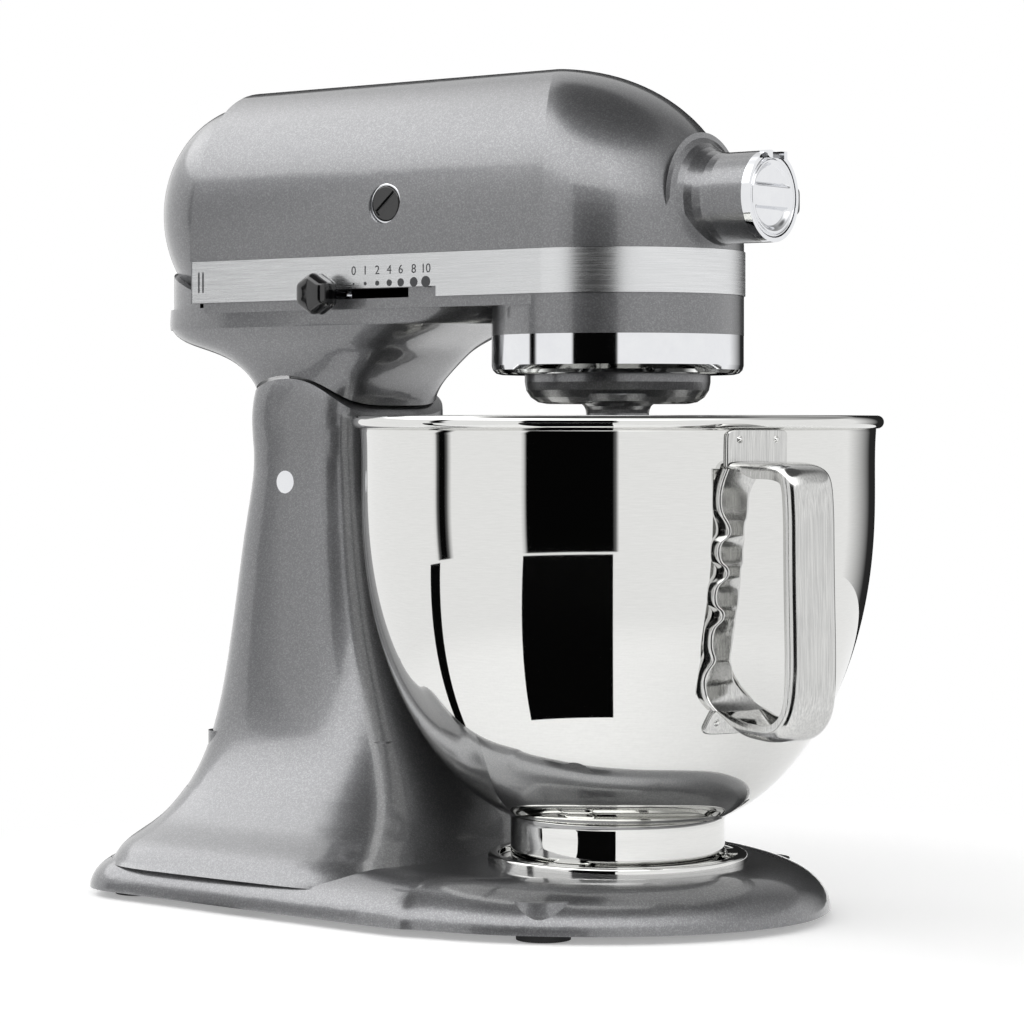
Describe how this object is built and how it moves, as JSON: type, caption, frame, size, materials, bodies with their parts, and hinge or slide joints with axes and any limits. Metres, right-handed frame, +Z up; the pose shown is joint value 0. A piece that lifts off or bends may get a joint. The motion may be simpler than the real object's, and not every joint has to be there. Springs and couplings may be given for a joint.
{
  "type": "stand mixer",
  "caption": "Tilt-head stand mixer with metallic grey cast body, polished steel bowl with riveted handle, planetary drive and round attachment hub.",
  "frame": {"origin": "where the axis of the bowl and planetary meets the plane of the feet", "axes": "+X forwards to the attachment hub, +Y to the side of the head lock, +Z up"},
  "size_m": [0.3815, 0.2224, 0.3548],
  "materials": {
    "grey_enamel": "fine metallic grey enamel",
    "cast_zinc": "bare casting",
    "polished_steel": "mirror polished stainless steel",
    "brushed_steel": "brushed stainless steel",
    "chrome": "bright chrome",
    "satin_band": "satin anodised",
    "black_plastic": "gloss black",
    "black_moulding": "moulded black",
    "foot_rubber": "soft rubber",
    "gear_steel": "machined steel",
    "bronze": "worm wheel and bush bronze",
    "copper_winding": "enamelled copper wire",
    "core_steel": "stacked steel sheet",
    "carbon": "carbon brush",
    "board_laminate": "circuit laminate",
    "white_moulding": "moulded white"
  },
  "bodies": {
    "stand": {"base_casting": "grey_enamel", "rubber_feet": "foot_rubber", "pedestal_bolts": "gear_steel", "bowl_clamp_plate": "polished_steel", "clamp_plate_screws": "brushed_steel", "pedestal": "grey_enamel", "pivot_pin": "chrome", "adjusting_screws": "gear_steel", "cord_inlet": "black_moulding"},
    "head": {"upper_housing": "grey_enamel", "lower_housing": "grey_enamel", "rear_cover": "grey_enamel", "rear_cover_screw": "chrome", "trim_band": "satin_band", "drip_ring": "chrome", "stator_core": "core_steel", "stator_coils": "copper_winding", "armature_bearings": "gear_steel", "rear_bearing_bracket": "cast_zinc", "brush_holders": "white_moulding", "carbon_brushes": "carbon", "brush_springs": "gear_steel", "brush_caps": "black_plastic", "speed_control_board": "board_laminate", "planetary_bush": "bronze", "gearbox_bracket": "cast_zinc", "ring_gear": "gear_steel", "hub_ring": "chrome", "hub_cover_pin": "gear_steel"},
    "armature": {"armature_shaft": "gear_steel", "armature_core": "core_steel", "armature_windings": "copper_winding", "commutator": "bronze", "cooling_fan": "black_moulding", "worm": "gear_steel"},
    "wheel": {"worm_wheel": "bronze", "drive_pinion": "gear_steel", "wheel_shaft": "gear_steel"},
    "planet_carrier": {"centre_gear": "gear_steel", "planetary_shaft": "gear_steel", "planetary": "grey_enamel"},
    "beater_spindle": {"beater_shaft": "polished_steel", "beater_pin": "polished_steel", "beater_gear": "gear_steel", "beater_washer": "white_moulding"},
    "hub_drive": {"hub_gear": "gear_steel", "hub_drive_shaft": "gear_steel"},
    "hub_lid": {"hub_cover": "chrome"},
    "hub_clamp": {"hub_knob": "black_plastic", "hub_knob_screw": "gear_steel"},
    "speed_control": {"speed_lever": "chrome", "speed_knob": "black_plastic"},
    "head_lock": {"lock_lever": "chrome", "lock_knob": "black_plastic"},
    "bowl": {"bowl_shell": "polished_steel", "bowl_foot": "polished_steel", "handle_strap": "brushed_steel", "handle_grip": "brushed_steel", "handle_brackets": "brushed_steel", "handle_rivets": "polished_steel"}
  },
  "joints": [
    {"name": "head_tilt", "type": "hinge", "parent": "stand", "child": "head", "pos_m": [-0.1526, 0, 0.179], "axis": [0, -1, 0], "range_deg": [0, 45]},
    {"name": "planetary_spin", "type": "hinge", "parent": "head", "child": "planet_carrier", "pos_m": [0, 0, 0.22], "axis": [0, 0, 1], "continuous": true},
    {"name": "wheel_spin", "type": "hinge", "parent": "head", "child": "wheel", "pos_m": [-0.04157, 0.024, 0.266], "axis": [0, 0, 1], "continuous": true},
    {"name": "armature_spin", "type": "hinge", "parent": "head", "child": "armature", "pos_m": [-0.1, 0, 0.298], "axis": [1, 0, 0], "continuous": true},
    {"name": "hub_spin", "type": "hinge", "parent": "head", "child": "hub_drive", "pos_m": [0.04, 0, 0.297], "axis": [1, 0, 0], "continuous": true},
    {"name": "beater_spin", "type": "hinge", "parent": "planet_carrier", "child": "beater_spindle", "pos_m": [0.01184, -0.01642, 0.2], "axis": [0, 0, 1], "continuous": true},
    {"name": "hub_cover_hinge", "type": "hinge", "parent": "head", "child": "hub_lid", "pos_m": [0.0786, 0, 0.3134], "axis": [0, -1, 0], "range_deg": [0, 100]},
    {"name": "hub_knob_turn", "type": "hinge", "parent": "head", "child": "hub_clamp", "pos_m": [0.062, 0.025, 0.297], "axis": [0, 1, 0], "continuous": true},
    {"name": "speed_slide", "type": "slide", "parent": "head", "child": "speed_control", "axis": [1, 0, 0], "range_m": [0, 0.04]},
    {"name": "lock_slide", "type": "slide", "parent": "head", "child": "head_lock", "axis": [1, 0, 0], "range_m": [0, 0.005]},
    {"name": "bowl_twist", "type": "hinge", "parent": "stand", "child": "bowl", "pos_m": [0, 0, 0.022], "axis": [0, 0, 1], "range_deg": [-25, 0]}
  ],
  "couplings": [
    {"joint": "wheel_spin", "follows": "planetary_spin", "ratio": -4.3333},
    {"joint": "armature_spin", "follows": "planetary_spin", "ratio": 104},
    {"joint": "hub_spin", "follows": "planetary_spin", "ratio": 1.5385},
    {"joint": "beater_spin", "follows": "planetary_spin", "ratio": -2.5}
  ]
}
